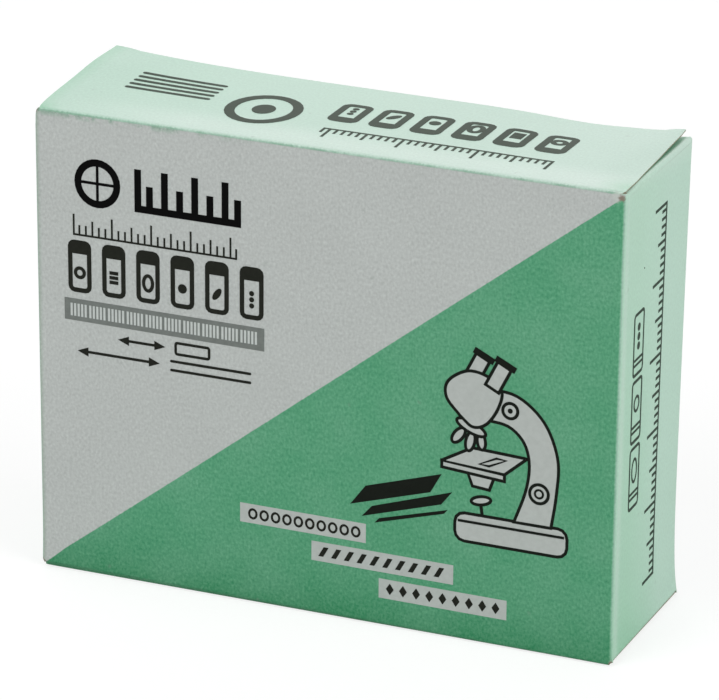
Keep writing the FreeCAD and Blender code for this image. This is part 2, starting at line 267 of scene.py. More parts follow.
def wrap_path():
    """The outside of the wrap in plan, from the left end's cut edge round to the glue flap's.

    Straight runs are joined by quarter arcs. Gives the points, the outward directions, the distance of each
    point along the sheet from the middle of the front wall, and the range of columns of each straight run.
    """
    inner_left = BOARD - HALF_WIDTH
    corners = np.array([
        (-HALF_WIDTH, HALF_DEPTH - SEAM_SETBACK),
        (-HALF_WIDTH, -HALF_DEPTH),
        (HALF_WIDTH, -HALF_DEPTH),
        (HALF_WIDTH, HALF_DEPTH),
        (inner_left, HALF_DEPTH),
        (inner_left, HALF_DEPTH - GLUE_FLAP_WIDTH),
    ])
    radii = [0, FOLD, FOLD, BACK_RIGHT_FOLD, FOLD, 0]
    points, outward, runs = [], [], []
    for number in range(5):
        along = corners[number + 1] - corners[number]
        length = np.hypot(*along)
        along = along / length
        out = np.array([along[1], -along[0]])
        breaks = (HALF_WIDTH - BACK_SEAM, HALF_WIDTH + BACK_SEAM) if number == 3 else ()
        places = steps(radii[number], length - radii[number + 1], extra=breaks)
        first = sum(map(len, points))
        points.append(corners[number] + places[:, None] * along)
        outward.append(np.tile(out, (len(places), 1)))
        runs.append((first, first + len(places)))
        radius = radii[number + 1]
        if radius:
            turn = np.linspace(0, math.pi / 2, ARC_STEPS + 1)[1:-1, None]
            centre = corners[number + 1] - radius * (along + out)
            facing = out * np.cos(turn) + along * np.sin(turn)
            points.append(centre + radius * facing)
            outward.append(facing)
    points, outward = np.concatenate(points), np.concatenate(outward)
    travelled = np.concatenate([[0], np.cumsum(np.hypot(*np.diff(points, axis=0).T))])
    front_first, front_last = runs[1]
    middle = (travelled[front_first] + travelled[front_last - 1]) / 2
    return points, outward, travelled - middle, runs


PLAN, OUTWARD, TRAVELLED, RUNS = wrap_path()
LEFT, FRONT, RIGHT, BACK, GLUE = RUNS


def upright(columns, heights):
    """The part of the wrap over a range of its columns, at the given heights, and its dieline."""
    run = slice(*columns)
    rows = np.reshape(heights, (len(heights), -1))
    return as_points(*PLAN[run].T, rows), as_points(TRAVELLED[run], rows)


def folded_flap(columns, level, up, reaches, front, back):
    """A wall's edge folded over inward as a flap, from the wall's end row to the flap's free edge.

    First a quarter arc of radius FOLD, then rows at growing distances from the wall's face. front(distance)
    and back(distance) give how far the flap's two side edges stand in from the wall's own ends.
    """
    plan = PLAN[slice(*columns)]
    turn = np.linspace(0, math.pi / 2, ARC_STEPS + 1)
    distance = np.concatenate([FOLD * (1 - np.cos(turn)), reaches])
    height = np.concatenate([level - up * FOLD * (1 - np.sin(turn)), np.full(len(reaches), level)])
    length = np.concatenate([FOLD * turn, FOLD * math.pi / 2 + reaches - FOLD])
    wall = plan[-1] - plan[0]
    share = np.linalg.norm(plan - plan[0], axis=1) / np.linalg.norm(wall)
    start = front(distance)[:, None] / np.linalg.norm(wall)
    end = 1 - back(distance)[:, None] / np.linalg.norm(wall)
    side = start + (end - start) * share
    flat = plan[0] + side[..., None] * wall - distance[:, None, None] * OUTWARD[columns[0]]
    grid = as_points(flat[..., 0], flat[..., 1], height[:, None])
    sheet = as_points(TRAVELLED[slice(*columns)], (level - up * FOLD + up * length)[:, None])
    return (grid, sheet) if up > 0 else (grid[::-1], sheet[::-1])


def tapered(shoulder, end, corner):
    """How far in a flap's side edge stands: by its shoulder, then straight, then along the cut corner."""
    return lambda distance: (shoulder * np.clip((distance - FOLD) / SHOULDER_LENGTH, 0, 1)
                             + np.clip(distance - end + corner, 0, None))


def make_carton(materials):
    """The folded sheet without its lid: wrap, dust flaps, glue flap, bottom panel and bottom flaps."""
    foot, top = BOARD + FOLD, HEIGHT - FOLD
    heights = steps(foot, top, extra=(*np.add(foot, FOOT_ROWS), STRIP_FOOT))
    patches = [
        upright((0, FRONT[0] + 1), heights),
        upright(FRONT, heights[heights <= STRIP_FOOT + SAME]),
        upright((FRONT[1] - 1, GLUE[0] + 1), heights),
    ]

    # The glue flap narrows from its fold to its free edge.
    into = np.abs(PLAN[slice(*GLUE)] - PLAN[GLUE[0]]).sum(axis=1)
    taper = np.clip(into, 0, 1) * (GLUE_FLAP_TAPER * into / into[-1] + GLUE_FLAP_SETBACK)
    share = (heights - foot) / (top - foot)
    patches.append(upright(GLUE, (foot + taper) + share[:, None] * (top - foot - 2 * taper)))

    # Cut edges: the back wall and the upright folds stand on past the end walls' folds. The front left fold
    # is worn round at both its tips, along a quarter of an ellipse. A sine makes its top tip stand proud.
    front_left = (LEFT[1] - 1, FRONT[0] + 1)
    front_right = (FRONT[1] - 1, RIGHT[0] + 1)
    into_fold = (PLAN[slice(*front_left), 0] + HALF_WIDTH) / FOLD
    worn_round = np.sqrt(np.clip(1 - (1 - into_fold) ** 2, 0, 1))
    proud = TIP_PROUD * np.sin(math.pi * np.sqrt(np.clip(into_fold, 0, 1)))
    tip_height = top + TIP_START + (LID_TOP - TIP_UNDER_LID - top) * worn_round + proud
    tip_foot = foot - TIP_START - (foot - TIP_OFF_TABLE) * worn_round
    patches += [
        upright(front_left, [np.full(tip_height.shape, top), tip_height]),
        upright(front_left, [tip_foot, np.full(tip_foot.shape, foot)]),
        upright(front_right, [top, HEIGHT + RIGHT_TIP_RISE]),
        upright(front_right, [BOARD, foot]),
        upright((BACK[0], GLUE[0] + 1), [top, HEIGHT - BACK_WALL_DROP]),
    ]

    # The back right fold is pressed over inward at its top, less and less towards the back wall.
    run = slice(RIGHT[1] - 1, BACK[0] + 1)
    pressed = np.linspace(math.pi / 2, math.asin(1 - BACK_WALL_DROP / FOLD), BACK[0] + 2 - RIGHT[1])
    turn = np.linspace(0, 1, ARC_STEPS + 1)[:, None] * pressed
    over = PLAN[run] - FOLD * (1 - np.cos(turn))[..., None] * OUTWARD[run]
    over = as_points(over[..., 0], over[..., 1], top + FOLD * np.sin(turn))
    patches.append((over, as_points(TRAVELLED[run], top + FOLD * turn)))
    back_right, back_left = (
        BACK[0] + int(np.argmin(np.abs(PLAN[slice(*BACK), 0] - x))) for x in (BACK_SEAM, -BACK_SEAM))
    patches.append(upright((RIGHT[1] - 1, back_right + 1), [BOARD, foot]))
    patches.append(upright((back_left, GLUE[0] + 1), [BOARD, foot]))

    # The dust flaps taper at their folds, most at the back, clear of the tuck flap. Then the flaps of the
    # bottom, and its panel on the fold along the foot of the front wall.
    front_edge, back_edge = (tapered(shoulder, FLAP_LENGTH, FLAP_CORNER) for shoulder in DUST_FLAP_SHOULDERS)
    reaches = steps(FOLD, FLAP_LENGTH, extra=(1.0, 3.0, FLAP_LENGTH - FLAP_CORNER))[1:]
    patches.append(folded_flap(LEFT, HEIGHT, 1, reaches, back_edge, front_edge))
    patches.append(folded_flap(RIGHT, HEIGHT, 1, reaches, front_edge, back_edge))
    square = tapered(0, math.inf, 0)
    for columns, flap_reaches in (
        (LEFT, reaches),
        (RIGHT, reaches),
        ((back_right, back_left + 1), steps(FOLD, BACK_FLAP_DEPTH + BOARD)[1:]),
    ):
        patches.append(folded_flap(columns, BOARD, -1, flap_reaches, square, square))
    patches.append(upright(FRONT, [FOLD, 0.7, foot]))
    reach = 2 * HALF_DEPTH - BOTTOM_SETBACK
    side = tapered(0, reach, PANEL_CORNER)
    inward = steps(FOLD, reach, extra=(reach - PANEL_CORNER,))[1:]
    patches.append(folded_flap(FRONT, 0.0, -1, inward, side, side))

    carton = add_board("printed_carton", *zip(*patches), materials)
    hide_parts("carton")
    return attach(carton, "carton_with_slides")


# ---- The lid --------

def smooth_step(share):
    """0 below 0, 1 above 1, and a smooth rise between."""
    share = np.clip(share, 0, 1)
    return share ** 2 * (3 - 2 * share)


# How the lid is worn, in millimetres.
SAG = 0.98  # it sags by up to this much towards the right ...
SLOPE = 0.10  # ... and by this much more for each half of its width
DENT = 0.46
CURL = 0.25  # its right end curls up ...
TURN_UP = 0.16  # ... and the back corner of that end a little more
LIE_DOWN = 0.36  # the front half of its right edge lies down
SPREAD = 0.54  # its left edge spreads outward
STAND_OUT = 0.32  # its right edge stands out over the fold ...
DRAW_IN = 0.75  # ... and draws in behind it
CROWN = 0.24
SHORTER = 0.1  # its panel is shorter than the plain one ...
SHORTER_LEFT = 0.2  # ... and this much more at its left end


def lid_drop(across, distance):
    """How far the lid's panel lies below its plain plane, in mm.

    It sags more towards the right (a tanh rise from its left edge, and a slope), has a dent before its free
    right corner (a bell curve) and curls up at that end (a smooth step), all growing from the fold. The last
    2 mm of that corner are turned up a little more. The front half of its right edge lies down on the flap
    below (a smooth step each way).
    """
    sag = 0.03 + SAG * np.tanh((across + LID_END) / 15) + SLOPE * (across / LID_END + 1)
    dent = DENT * np.exp(-((across - 26.5) / 7.6) ** 2)
    end = smooth_step((across - 34) / 5)
    tip = smooth_step((across - 36.5) / 3) * smooth_step((distance - LID_DEPTH + 2.6) / 2.6)
    lies = end * smooth_step(distance / 6) * (1 - smooth_step((distance - 12) / 13))
    sunk = (sag + dent - CURL * end) * np.clip(distance / LID_DEPTH, 0, 1.1) ** 1.3
    return sunk - TURN_UP * tip + LIE_DOWN * lies


def lid_depth(across):
    """The lid's depth from its fold to its back fold, a little shorter towards its left end."""
    return LID_DEPTH - (SHORTER + SHORTER_LEFT) + SHORTER_LEFT * (across / LID_END + 1) / 2


def lid_splay(across, distance):
    """How far the lid's last 3 mm at each end lie to the left of their plain place, in mm.

    The left edge spreads outward, by a tanh rise from the fold. The right edge stands out over the fold (a
    smooth step) and draws inward behind it (one less an exponential).
    """
    past_fold = np.clip(distance - LID_FOLD, 0, None)
    to_left = np.clip((-across - LID_END + TUCK_INSET) / TUCK_INSET, 0, 1)
    to_right = np.clip((across - LID_END + TUCK_INSET) / TUCK_INSET, 0, 1)
    outward = STAND_OUT * smooth_step(distance / LID_FOLD) - DRAW_IN * (1 - np.exp(-past_fold / 9))
    return SPREAD * to_left * np.tanh(past_fold / 7) - to_right * outward


def lid_crown(across, distance):
    """A low crown in the lid's left edge, in mm: a bell curve from front to back that fades to the right."""
    return CROWN * np.exp(-((distance - 18.5) / 5) ** 2) * np.exp(-(across + LID_END) / 7)


def on_lid(across, distance, lift=0.0):
    """Points of the lid's printed face, at a distance from the fold and lifted off the board."""
    across, distance, lift = np.broadcast_arrays(across, distance, lift)
    y = HINGE_Y + distance * math.cos(LID_RISE) - lift * math.sin(LID_RISE)
    z = LID_TOP + distance * math.sin(LID_RISE) + lift * math.cos(LID_RISE)
    z = z - lid_drop(across, distance) + lid_crown(across, distance)
    return as_points(across, y, z)


def splayed(grid, across, distance):
    """Points of the lid or its fold, with its ends spread or drawn in."""
    grid[..., 0] -= lid_splay(across, distance)
    return grid


def make_lid_fold(materials):
    """The fold between front wall and lid: up the wall, round an arc, then along the lid's panel."""
    across = PLAN[slice(*FRONT), 0]
    turn_angle = math.pi / 2 - LID_RISE
    tangent = LID_FOLD * math.tan(turn_angle / 2)
    wall_top = LID_TOP - tangent
    turn = np.linspace(0, turn_angle, ARC_STEPS + 3)[1:-1]
    rise = steps(STRIP_FOOT, wall_top, margin=0.1)
    into = np.concatenate([0 * rise, LID_FOLD * (1 - np.cos(turn))])[:, None]
    heights = np.concatenate([rise, wall_top + LID_FOLD * np.sin(turn)])
    wall = as_points(across, HINGE_Y + into, heights[:, None])
    places = steps(tangent, STRIP_REACH, margin=0.1)
    panel = on_lid(across, places[:, None])
    grid = np.concatenate([splayed(wall, across, into), splayed(panel, across, places[:, None])])
    length = np.concatenate([
        rise, wall_top + LID_FOLD * turn, wall_top + LID_FOLD * turn_angle + places - tangent])
    sheet = as_points(TRAVELLED[slice(*FRONT)], length[:, None])
    strip = add_board("printed_lid_fold", [grid], [sheet], materials, LID_SKIN)
    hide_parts("lid")
    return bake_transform(strip)


def make_lid(materials):
    """The lid's panel with its cut corners, and the tuck flap folded down inside the back wall."""
    tuck_end = LID_END - TUCK_INSET
    across = np.unique(np.round([*PLAN[slice(*FRONT), 0], -tuck_end, tuck_end], 5))
    turn_angle = math.pi / 2 + TUCK_LEAN
    tangent = LID_FOLD * math.tan(turn_angle / 2)
    turn_length = math.pi / 2 - LID_RISE
    start_length = LID_TOP + LID_FOLD * turn_length - 2 * LID_FOLD * math.tan(turn_length / 2)

    def patch(share, columns, beyond=0.0):
        """Rows of the panel at shares of the way from the fold strip to the back fold's start."""
        x = across[columns]
        depth = lid_depth(x) - tangent
        distance = STRIP_REACH + share[:, None] * (depth - STRIP_REACH) + beyond
        outside = np.abs(x) > tuck_end + SAME
        cut = np.clip(distance - lid_depth(x) + PANEL_CORNER, 0, PANEL_CORNER)
        narrower = tuck_end + (np.abs(x) - tuck_end) * (1 - cut / TUCK_INSET)
        x_cut = np.where(outside, np.sign(x) * narrower, x)
        return splayed(on_lid(x_cut, distance), x, distance), as_points(x_cut, start_length + distance)

    share = steps(0, 1, spacing=SPACING / LID_DEPTH, margin=0.004)
    patches = [patch(share, slice(None))]
    for side in (across <= -tuck_end + SAME, across >= tuck_end - SAME):
        past_tuck = np.clip(np.abs(across[side]) - tuck_end, 0, 1)
        beyond = np.linspace(0, tangent - 0.02, 4)[:, None] * (0.3 + 0.7 * past_tuck)
        patches.append(patch(np.ones(4), side, beyond))

    # The tuck flap: an arc round the back fold, then a straight run down to just over the top slide.
    x = across[np.abs(across) <= tuck_end + SAME]
    depth = lid_depth(x) - tangent
    turn = np.linspace(0, turn_angle, ARC_STEPS + 3)[:, None]
    fall = steps(0, 1, spacing=0.3, margin=0.02)[1:, None]
    reach = np.concatenate([0 * turn, fall])
    turn = np.concatenate([turn, 0 * fall + turn_angle])
    base = on_lid(x, depth)
    room = settle(base)[:, 2] - TUCK_FLOOR - LID_FOLD * (1 - math.cos(turn_angle))
    into_corner = np.clip(TUCK_CORNER - tuck_end + np.abs(x), 0, TUCK_CORNER)
    rounding = TUCK_CORNER - np.sqrt(TUCK_CORNER ** 2 - into_corner ** 2)
    length = (room - rounding) * reach
    along = LID_FOLD * np.sin(turn) + length * math.cos(turn_angle)
    down = LID_FOLD * (1 - np.cos(turn)) + length * math.sin(turn_angle)
    y = base[:, 1] + along * math.cos(LID_RISE) + down * math.sin(LID_RISE)
    z = base[:, 2] + along * math.sin(LID_RISE) - down * math.cos(LID_RISE)
    patches.append((as_points(x, y, z), as_points(x, start_length + depth + LID_FOLD * turn + length)))

    lid = add_board("printed_lid", *zip(*patches), materials, LID_SKIN)
    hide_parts("lid")
    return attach(lid, "lid_flap")


# ---- Printed marks --------
#
# A mark is a strip: its two edges as an array of 2 x n points, in mm on its own panel. The marks are plain
# signs that suit what is in the carton: slides, scales, lenses and a microscope. None is a letter.

FILM = 0.02  # how far a film of ink stands off the board, drawn thicker than a real one
OVERPRINT = 0.026  # a film over another
THICK_FILM = 0.03
PEN = 0.42  # width of the line that the microscope is drawn with


def unit(steps_along):
    """Directions of the same steps with length one."""
    return steps_along / np.linalg.norm(steps_along, axis=-1, keepdims=True)


def travelled_along(line):
    """How far along a broken line each of its corners lies."""
    return np.concatenate([[0], np.cumsum(np.linalg.norm(np.diff(line, axis=0), axis=1))])


def points_at(line, places):
    """The points of a broken line at distances along it."""
    return np.column_stack([np.interp(places, travelled_along(line), line[:, axis]) for axis in (0, 1)])


def divide(corners, span=1.2):
    """A broken line through corners as points at most a span apart, by even distances along it."""
    corners = np.array(corners, dtype=float)
    travelled = travelled_along(corners)
    places = np.concatenate([travelled, np.arange(span / 2, travelled[-1], span)])
    return points_at(corners, np.unique(np.round(places, 4)))


def curve(knots, per_span=6):
    """A smooth line through knots (Catmull-Rom): a knot's slope is half the step between its neighbours."""
    knots = np.array(knots, dtype=float)
    knots = np.concatenate([[2 * knots[0] - knots[1]], knots, [2 * knots[-1] - knots[-2]]])
    first, second, third, fourth = (knots[start:len(knots) - 3 + start, None] for start in range(4))
    share = np.arange(per_span)[:, None] / per_span
    line = second + 0.5 * share * (third - first + share * (
        2 * first - 5 * second + 4 * third - fourth + share * (3 * second - first - 3 * third + fourth)))
    return np.concatenate([line.reshape(-1, 2), knots[-2:-1]])


def oval(centre, reach, rise, tilt=0.0, count=28):
    """A closed oval: centre plus reach times the cosine along its tilted axis and rise times the sine."""
    turn = np.linspace(0, 2 * math.pi, count, endpoint=False)
    lean = math.radians(tilt)
    along = np.outer(reach * np.cos(turn), (math.cos(lean), math.sin(lean)))
    aside = np.outer(rise * np.sin(turn), (-math.sin(lean), math.cos(lean)))
    return np.array(centre) + along + aside


def rounded_box(low, high, radius):
    """A closed upright box with quarter circles at its corners."""
    turns = np.radians([[0, 30, 60, 90], [90, 120, 150, 180], [180, 210, 240, 270], [270, 300, 330, 360]])
    right, left = high[0] - radius, low[0] + radius
    top, bottom = high[1] - radius, low[1] + radius
    centres = np.array([[[right, top]], [[left, top]], [[left, bottom]], [[right, bottom]]])
    return (centres + radius * as_points(np.cos(turns), np.sin(turns))).reshape(-1, 2)


def stroke(line, width, closed=False):
    """A line drawn with a width: its points move half of it to both sides, along the mitre of each corner."""
    line = np.array(line, dtype=float)
    arriving = unit(line - np.roll(line, 1, axis=0))
    leaving = np.roll(arriving, -1, axis=0)
    if not closed:
        arriving[0], leaving[-1] = leaving[0], arriving[-1]
    heading = unit(arriving + leaving)
    squeeze = np.clip(np.sum(heading * arriving, axis=1), 0.6, 1)
    aside = np.column_stack([-heading[:, 1], heading[:, 0]]) * (np.array(width) / 2 / squeeze)[:, None]
    strip = np.stack([line + aside, line - aside])
    return np.concatenate([strip, strip[:, :1]], axis=1) if closed else strip


def bar(start, end, width):
    """A straight bar with round ends: near each end half its width is a circle's, sqrt(r^2 - (r - u)^2)."""
    start, end = np.array(start, dtype=float), np.array(end, dtype=float)
    length, radius = np.linalg.norm(end - start), width / 2
    cap = radius * (1 - np.cos(np.linspace(0.18, math.pi / 2, 5)))
    places = np.concatenate([cap, np.arange(radius + 0.6, length - radius - 0.3, 1.2), length - cap[::-1]])
    near = np.clip(radius - np.minimum(places, length - places), 0, radius)
    return stroke(start + places[:, None] * (end - start) / length, 2 * np.sqrt(radius ** 2 - near ** 2))


def between(one_edge, other_edge, count=3):
    """The filled shape between two lines, both divided into as many equal lengths."""
    edges = [np.array(edge, dtype=float) for edge in (one_edge, other_edge)]
    return np.stack([points_at(edge, np.linspace(0, travelled_along(edge)[-1], count)) for edge in edges])


def outline(strip):
    """A filled shape's two edges as one closed loop."""
    return np.concatenate([strip[0], strip[1][::-1]])


def filled(loop):
    """A closed loop as a filled shape, between its first half and its second half taken backwards."""
    half = len(loop) // 2
    return between(loop[:half + 1], np.concatenate([loop[half:], loop[:1]])[::-1], 24)


def placed(marks, place, quarter_turns=0):
    """Marks turned by right angles about their own zero, then moved to a place."""
    cosine, sine = ((1, 0), (0, 1), (-1, 0), (0, -1))[quarter_turns]
    turn = np.array([[cosine, sine], [-sine, cosine]])
    return [strip @ turn + np.array(place) for strip in marks]


def scale_marks(length, step, heights, weight):
    """A graduated scale along x: a base line with upright ticks, whose heights repeat in order."""
    marks = [stroke(divide([(0, 0), (length, 0)]), weight)]
    for number in range(int(round(length / step)) + 1):
        across = min(max(number * step, weight / 2), length - weight / 2)
        marks.append(stroke([(across, weight / 2), (across, heights[number % len(heights)])], weight))
    return marks


def specimen(kind, centre, size, weight):
    """One of six signs for what lies under a cover glass: ring, bars, lens, disc, leaf or three cells."""
    x, y = centre
    if kind in (0, 2):
        return [stroke(oval(centre, size, size * (1.6 if kind else 1.0)), weight, closed=True)]
    if kind == 1:
        return [stroke([(x - size, y + shift), (x + size, y + shift)], weight) for shift in (-size, 0, size)]
    if kind == 3:
        return [filled(oval(centre, size, size))]
    if kind == 4:
        return [filled(oval(centre, size * 1.5, size * 0.7, tilt=55))]
    return [filled(oval((x, y + shift), size * 0.55, size * 0.55)) for shift in (-size * 1.3, 0, size * 1.3)]


def slide_signs(width, height, gap, weight):
    """Six upright slides in a row: outline, filled frosted end, and under it one of the specimens."""
    marks = []
    inner, frosted = weight / 2, height * 0.84
    for kind in range(6):
        left = kind * (width + gap)
        loop = rounded_box((left + inner, inner), (left + width - inner, height - inner), 0.18 * width)
        marks.append(stroke(loop, weight, closed=True))
        marks.append(stroke([(left + weight, frosted), (left + width - weight, frosted)], height * 0.2))
        marks += specimen(kind, (left + width / 2, height * 0.38), width * 0.19, weight * 0.75)
    return marks


def double_arrow(length, weight):
    """A dimension line along x with an arrow head at each end."""
    heads = [between([(tip, 0.02), (neck, 0.62)], [(tip, -0.02), (neck, -0.62)])
             for tip, neck in ((0, 1.5), (length, length - 1.5))]
    return [stroke(divide([(0.6, 0), (length - 0.6, 0)]), weight), *heads]


def heading_marks():
    """Black marks of the front's heading: a lens ring with a cross and a bold scale beside it."""
    return [
        stroke(oval((-31.2, 53.4), 2.75, 2.75), 0.95, closed=True),
        stroke([(-31.2, 50.2), (-31.2, 56.6)], 0.38), stroke([(-34.4, 53.4), (-28.0, 53.4)], 0.38),
        *placed(scale_marks(14.8, 2.1, (5.2, 3.1), 0.95), (-26.0, 50.9)),
    ]


def front_marks():
    """Dark marks of the front: scale, slides, sizes and the rows of signs on the pale strips."""
    slants = [-0.4 + 1.78 * number for number in range(10)]
    return [
        *placed(scale_marks(23.0, 0.92, (2.7, 1.3, 1.3, 2.0, 1.3, 1.3), 0.26), (-34.75, 46.25)),
        *placed(slide_signs(3.3, 7.0, 1.52, 0.62), (-35.5, 38.5)),
        *placed(double_arrow(6.6, 0.36), (-28.5, 32.95)),
        stroke(rounded_box((-20.4, 32.25), (-15.7, 33.75), 0.25), 0.36, closed=True),
        *placed(double_arrow(11.6, 0.36), (-34.3, 30.6)),
        *[bar((-21.2, level), (-9.8, level), 0.36) for level in (30.0, 31.2)],
        *[stroke(oval((-9.6 + 1.6 * number, 12.18), 0.52, 0.62, count=16), 0.32, closed=True)
          for number in range(10)],
        *[between([(left, 7.95), (left + 0.75, 9.3)], [(left + 0.7, 7.95), (left + 1.45, 9.3)])
          for left in slants],
        *[filled(oval((9.6 + 1.82 * number, 5.1), 0.55, 0.8, count=4)) for number in range(9)],
    ]


def slide_stack():
    """Three black glass slides lying fanned, as flat slanted plates."""
    return [
        between([(4.0, 15.9), (15.0, 19.3)], [(6.1, 18.7), (16.5, 22.0)]),
        between([(5.6, 14.5), (16.5, 17.9)], [(7.0, 16.1), (18.0, 19.8)]),
        between([(7.4, 13.9), (16.9, 16.7)], [(8.0, 14.6), (17.4, 17.3)]),
    ]


def pale_strips():
    """Three pale strips that carry rows of signs: left, foot, right and top of each."""
    strips = [(-11.4, 10.87, 6.2, 13.5), (-1.35, 7.27, 18.3, 9.93), (8.05, 3.72, 25.65, 6.38)]
    return [between([(left, foot), (right, foot)], [(left, top), (right, top)])
            for left, foot, right, top in strips]


def band_marks():
    """Fifty short upright bars in ten groups of five, for a pack of fifty."""
    return [stroke([(left, 35.25), (left, 36.95)], 0.3)
            for left in (-35.1 + 2.66 * group + 0.5 * number for group in range(10) for number in range(5))]


def microscope_parts():
    """A binocular microscope from the side, as closed outlines, those at the back first."""
    limb = between(
        curve([(22.6, 34.4), (26.6, 33.9), (30.2, 31.0), (32.1, 26.4), (32.0, 21.6), (31.4, 17.2)]),
        curve([(22.4, 30.2), (25.4, 29.8), (27.5, 28.0), (28.3, 25.2), (27.9, 21.6), (26.4, 17.2)]), 30)
    condenser, edge, plate = (divide(corners, 0.6) for corners in (
        [(20.0, 22.9), (23.6, 22.6), (23.0, 20.9), (20.7, 21.1)],
        [(16.5, 23.9), (25.0, 23.3), (25.0, 22.4), (16.5, 23.0)],
        [(16.5, 23.9), (20.6, 26.2), (28.0, 25.9), (25.0, 23.3)]))
    head = curve([(18.9, 30.2), (17.0, 32.4), (17.2, 34.6), (19.8, 36.3), (22.6, 35.9), (24.4, 34.3),
                  (23.9, 31.8), (22.4, 29.6), (20.6, 29.0), (18.9, 30.2)])[:-1]
    tube = np.array([[(0, 0), (1.6, 3.2)], [(1.8, -0.9), (3.4, 2.3)]])
    left_tube, right_tube = (outline(between(*(tube + foot), 6)) for foot in ((19.3, 35.6), (22.2, 34.9)))
    return [
        oval((21.9, 19.3), 1.35, 0.55, tilt=12),
        rounded_box((18.4, 13.5), (33.6, 17.3), 1.3), outline(limb), condenser, edge, plate,
        oval((18.7, 27.6), 0.62, 1.25, tilt=-38), oval((20.3, 27.0), 0.6, 1.3, tilt=-12),
        oval((21.8, 27.2), 0.55, 1.1, tilt=8), oval((20.4, 28.9), 2.1, 0.72, tilt=-22),
        left_tube, head, right_tube,
        oval((29.7, 21.5), 1.25, 1.25), oval((25.6, 31.9), 1.0, 1.0),
    ]


def microscope_lines():
    """Single lines of the microscope: eyecups, mirror stem, slide on the stage, base edge, knob centres."""
    return [
        stroke([(20.6, 39.25), (23.3, 37.95)], 0.85), stroke([(23.5, 38.55), (26.2, 37.25)], 0.85),
        stroke([(21.9, 18.7), (22.1, 17.4)], PEN),
        stroke([(21.6, 24.2), (23.9, 25.3), (25.2, 25.2), (22.9, 24.1)], 0.3, closed=True),
        stroke(divide([(18.8, 16.2), (33.2, 16.2)]), 0.34),
        stroke(oval((29.7, 21.5), 0.55, 0.55, count=14), 0.3, closed=True),
        filled(oval((25.6, 31.9), 0.35, 0.35, count=12)),
    ]


def lid_marks():
    """Marks of the lid, upside down as read from the front: slides, a lens, a stack of slides and a scale."""
    return [
        *placed(slide_signs(4.2, 7.5, 1.4, 1.0), (28.0, 18.1), 2),
        stroke(oval((-12.8, 11.2), 4.3, 5.2), 1.35, closed=True), filled(oval((-12.8, 11.2), 1.5, 1.9)),
        *[bar((-32.6, level), (-20.6, level), 0.7) for level in np.linspace(11.9, 17.7, 5)],
        *placed(scale_marks(31.0, 1.0, (3.3, *[1.6] * 4, 2.4, *[1.6] * 4), 0.36), (28.0, 7.4), 2),
    ]


def end_marks():
    """Marks of the right end, read from its foot up: three slides, a scale of fifty parts and a speck."""
    marks = []
    for foot, kind in ((19.0, 2), (27.9, 0), (36.8, 5)):
        loop = rounded_box((-8.2, foot), (-4.5, foot + 8.0), 0.5)
        loop = divide(np.concatenate([loop, loop[:1]]))[:-1]
        marks.append(stroke(loop, 0.42, closed=True))
        marks += [stroke([(-8.0, foot + 1.3 + rise), (-4.7, foot + 1.3 + rise)], 0.34) for rise in (0, 0.7)]
        marks += specimen(kind, (-6.35, foot + 4.9), 0.95, 0.38)
    marks += placed(scale_marks(50.0, 1.0, (4.4, *[1.7] * 4, 2.9, *[1.7] * 4), 0.4), (3.1, 6.4), 1)
    return marks + [filled(oval((-5.04, 50.17), 0.13, 0.11, count=10))]


def on_front(x, z, lift):
    """The front wall's face: x and z as they are, y out by the lift."""
    return as_points(x, -HALF_DEPTH - lift, z)


def on_right_end(y, z, lift):
    """The right end wall's face: y and z as they are, x out by the lift."""
    return as_points(HALF_WIDTH + lift, y, z)


def add_ink(name, marks, surface, lift, material, body):
    """Films of ink: each strip is lifted off the board, and its rim goes down into the board all round.

    Where strips of one ink cross, one lies a micrometre over the other.
    """
    lifts = lift + 0.001 * (np.arange(len(marks)) % 8) * (np.ndim(lift) == 0)
    grids = []
    for strip, height in zip(marks, lifts):
        low, high = (surface(strip[..., 0], strip[..., 1], level) for level in (-FILM, height))
        grids.append(np.stack([low[0], high[0], high[1], low[1], low[0]]))
        if not np.allclose(strip[:, 0], strip[:, -1]):
            grids += [np.stack([[low[side, end], high[side, end]] for side in (0, 1)]) for end in (0, -1)]
    film = add_piece(name, [settle(grid) for grid in grids], closed=True)
    film.data.materials.append(material)
    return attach(finish_piece(film), body)


def print_front(inks):
    """Everything printed over the front's two colours. The microscope's parts lie on each other."""
    parts = microscope_parts()
    layers = 0.010 + 0.003 * np.arange(len(parts))
    outlines = [stroke(part, PEN, closed=True) for part in parts]
    for name, marks, lift, ink in (
        ("ink_heading", heading_marks(), FILM, "black"),
        ("ink_front_signs", front_marks(), OVERPRINT, "dark"),
        ("ink_slide_stack", slide_stack(), OVERPRINT, "line"),
        ("ink_pale_strips", pale_strips(), FILM, "pale"),
        ("ink_band", [between([(-36.1, 34.65), (-8.0, 34.5)], [(-36.1, 37.6), (-8.0, 37.55)])], FILM, "band"),
        ("ink_band_signs", band_marks(), OVERPRINT, "light"),
        ("ink_microscope_fill", [filled(part) for part in parts], layers, "pale"),
        ("ink_microscope_outline", outlines, layers + 0.0015, "line"),
        ("ink_microscope_lines", microscope_lines(), layers[-1] + 0.003, "line"),
    ):
        add_ink(name, marks, on_front, lift, inks[ink], "carton_with_slides")


# ---- Materials --------

# Corners whose print is rubbed through: place on the flat sheet and radius, in mm.
WORN_CORNERS = [
    ((39.45, 61.6), 0.44),
    ((39.9, 0.45), 0.32),
    ((-39.9, 0.3), 0.40),
    ((-40.1, 62.1), 0.34),
    ((66.6, 0.6), 0.42),
]


def colour(hex_code):
    """An sRGB hex colour as linear red, green, blue and alpha."""
    parts = np.array([int(hex_code[place:place + 2], 16) for place in (1, 3, 5)]) / 255
    linear = np.where(parts <= 0.04045, parts / 12.92, ((parts + 0.055) / 1.055) ** 2.4)
    return (*linear.tolist(), 1.0)


